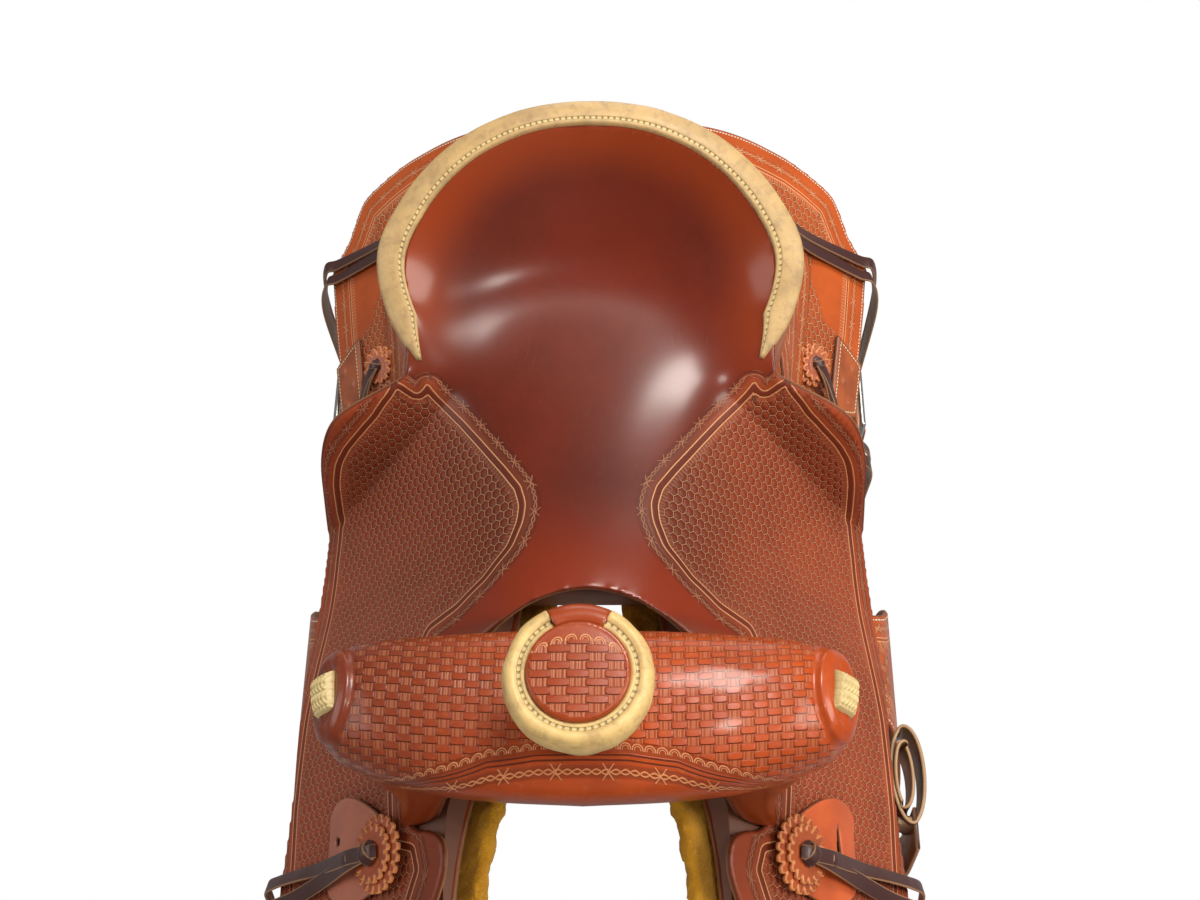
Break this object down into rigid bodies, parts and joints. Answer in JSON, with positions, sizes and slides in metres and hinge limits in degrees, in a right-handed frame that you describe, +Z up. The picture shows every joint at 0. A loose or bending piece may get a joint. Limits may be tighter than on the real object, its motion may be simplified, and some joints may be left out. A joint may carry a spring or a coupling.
{
  "type": "western saddle",
  "caption": "Western ranch saddle: swell fork with capped horn, dished seat and rolled cantle, basket-stamped jockeys, fleece-lined skirts, dee rigging, and fenders with stirrups that swing.",
  "frame": {"origin": "the centre plane, on the flat ceiling of the channel under the ground seat, below the middle of the seat", "axes": "+Z up through the horn; the horse's head lies toward -Y and the cantle toward +Y; +X is the near (left) side of the horse"},
  "size_m": [0.6, 0.756, 0.839],
  "materials": {
    "tree_wood": "bare softwood tree, rawhide glued over",
    "horn_steel": "cast horn, hidden under leather",
    "hardware_steel": "stainless dees and bolts, soft satin",
    "tooled_russet": "oiled russet skirting, basket stamped, semi-gloss",
    "seat_leather": "dark mahogany, polished by use, glossy",
    "ground_leather": "undyed skirting built up over a strainer",
    "skirt_leather": "oiled russet skirting, stitched near the edge",
    "sheepskin": "golden pressed woolskin",
    "rawhide": "pale waxed wrap leather, mottled",
    "rosette_leather": "scalloped skirting discs",
    "string_leather": "dark oiled string leather",
    "latigo_leather": "burgundy latigo with raw tan edges",
    "keeper_leather": "plain russet skirting",
    "billet_leather": "golden harness leather, stitched",
    "stirrup_wood": "bent hardwood, varnished",
    "tread_leather": "dark leather foot pad"
  },
  "bodies": {
    "saddle": {"cantle_back_cover": "tooled_russet", "cantle_binding": "rawhide", "cantle_rosette_left": "rosette_leather", "cantle_rosette_right": "rosette_leather", "cantle_string_left": "string_leather", "cantle_string_right": "string_leather", "flank_rigging_plate_left": "tooled_russet", "flank_rigging_plate_right": "tooled_russet", "fleece_left": "sheepskin", "fleece_right": "sheepskin", "fork_cover": "tooled_russet", "front_dee_left": "hardware_steel", "front_rigging_plate_left": "tooled_russet", "front_rigging_plate_right": "tooled_russet", "front_rosette_left": "rosette_leather", "front_rosette_right": "rosette_leather", "front_rosette_top_left": "rosette_leather", "front_rosette_top_right": "rosette_leather", "front_string_left": "string_leather", "front_string_right": "string_leather", "ground_seat": "ground_leather", "horn_cap_cover": "tooled_russet", "horn_core": "horn_steel", "horn_wrap": "rawhide", "latigo_keeper_left": "keeper_leather", "latigo_left": "latigo_leather", "rear_jockey_left": "tooled_russet", "rear_jockey_right": "tooled_russet", "rear_rosette_left": "rosette_leather", "rear_rosette_right": "rosette_leather", "rear_string_left": "string_leather", "rear_string_right": "string_leather", "rope_keeper_right": "keeper_leather", "seat_and_jockeys": "seat_leather", "skirt_left": "skirt_leather", "skirt_right": "skirt_leather", "swell_lace_left": "rawhide", "swell_lace_right": "rawhide", "tree_bar_left": "tree_wood", "tree_bar_right": "tree_wood", "tree_cantle": "tree_wood", "tree_fork": "tree_wood"},
    "fender_left": {"fender_left": "tooled_russet", "stirrup_leather_left": "tooled_russet", "hobble_strap_left": "latigo_leather"},
    "stirrup_left": {"stirrup_left": "stirrup_wood", "stirrup_tread_left": "tread_leather", "stirrup_bolt_left": "hardware_steel"},
    "flank_dee_left": {"flank_dee_left": "hardware_steel"},
    "flank_billet_left": {"flank_billet_left": "billet_leather"},
    "fender_right": {"fender_right": "tooled_russet", "stirrup_leather_right": "tooled_russet", "hobble_strap_right": "latigo_leather"},
    "stirrup_right": {"stirrup_right": "stirrup_wood", "stirrup_tread_right": "tread_leather", "stirrup_bolt_right": "hardware_steel"},
    "flank_dee_right": {"flank_dee_right": "hardware_steel"},
    "flank_billet_right": {"flank_billet_right": "billet_leather"},
    "front_dee_right": {"front_dee_right": "hardware_steel"},
    "off_billet_right": {"off_billet_right": "latigo_leather"}
  },
  "joints": [
    {"name": "fender_swing_left", "type": "hinge", "parent": "saddle", "child": "fender_left", "pos_m": [0.13, -0.05, -0.072], "axis": [1, 0, 0], "range_deg": [-8, 24]},
    {"name": "stirrup_tilt_left", "type": "hinge", "parent": "fender_left", "child": "stirrup_left", "pos_m": [0.262, -0.05, -0.505], "axis": [0, -1, 0], "range_deg": [-35, 35]},
    {"name": "flank_dee_swing_left", "type": "hinge", "parent": "saddle", "child": "flank_dee_left", "pos_m": [0.25037, 0.218, -0.21899], "axis": [0, -1, 0], "range_deg": [0, 40]},
    {"name": "flank_billet_swing_left", "type": "hinge", "parent": "flank_dee_left", "child": "flank_billet_left", "pos_m": [0.25037, 0.218, -0.25299], "axis": [0, -1, 0], "range_deg": [0, 35]},
    {"name": "fender_swing_right", "type": "hinge", "parent": "saddle", "child": "fender_right", "pos_m": [-0.13, -0.05, -0.072], "axis": [1, 0, 0], "range_deg": [-14, 24]},
    {"name": "stirrup_tilt_right", "type": "hinge", "parent": "fender_right", "child": "stirrup_right", "pos_m": [-0.262, -0.05, -0.505], "axis": [0, 1, 0], "range_deg": [-35, 35]},
    {"name": "flank_dee_swing_right", "type": "hinge", "parent": "saddle", "child": "flank_dee_right", "pos_m": [-0.25037, 0.218, -0.21899], "axis": [0, 1, 0], "range_deg": [0, 40]},
    {"name": "flank_billet_swing_right", "type": "hinge", "parent": "flank_dee_right", "child": "flank_billet_right", "pos_m": [-0.25037, 0.218, -0.25299], "axis": [0, 1, 0], "range_deg": [0, 35]},
    {"name": "front_dee_swing_right", "type": "hinge", "parent": "saddle", "child": "front_dee_right", "pos_m": [-0.25455, -0.205, -0.28837], "axis": [0, 1, 0], "range_deg": [0, 40]},
    {"name": "off_billet_swing_right", "type": "hinge", "parent": "front_dee_right", "child": "off_billet_right", "pos_m": [-0.25455, -0.205, -0.34037], "axis": [0, 1, 0], "range_deg": [0, 35]}
  ]
}
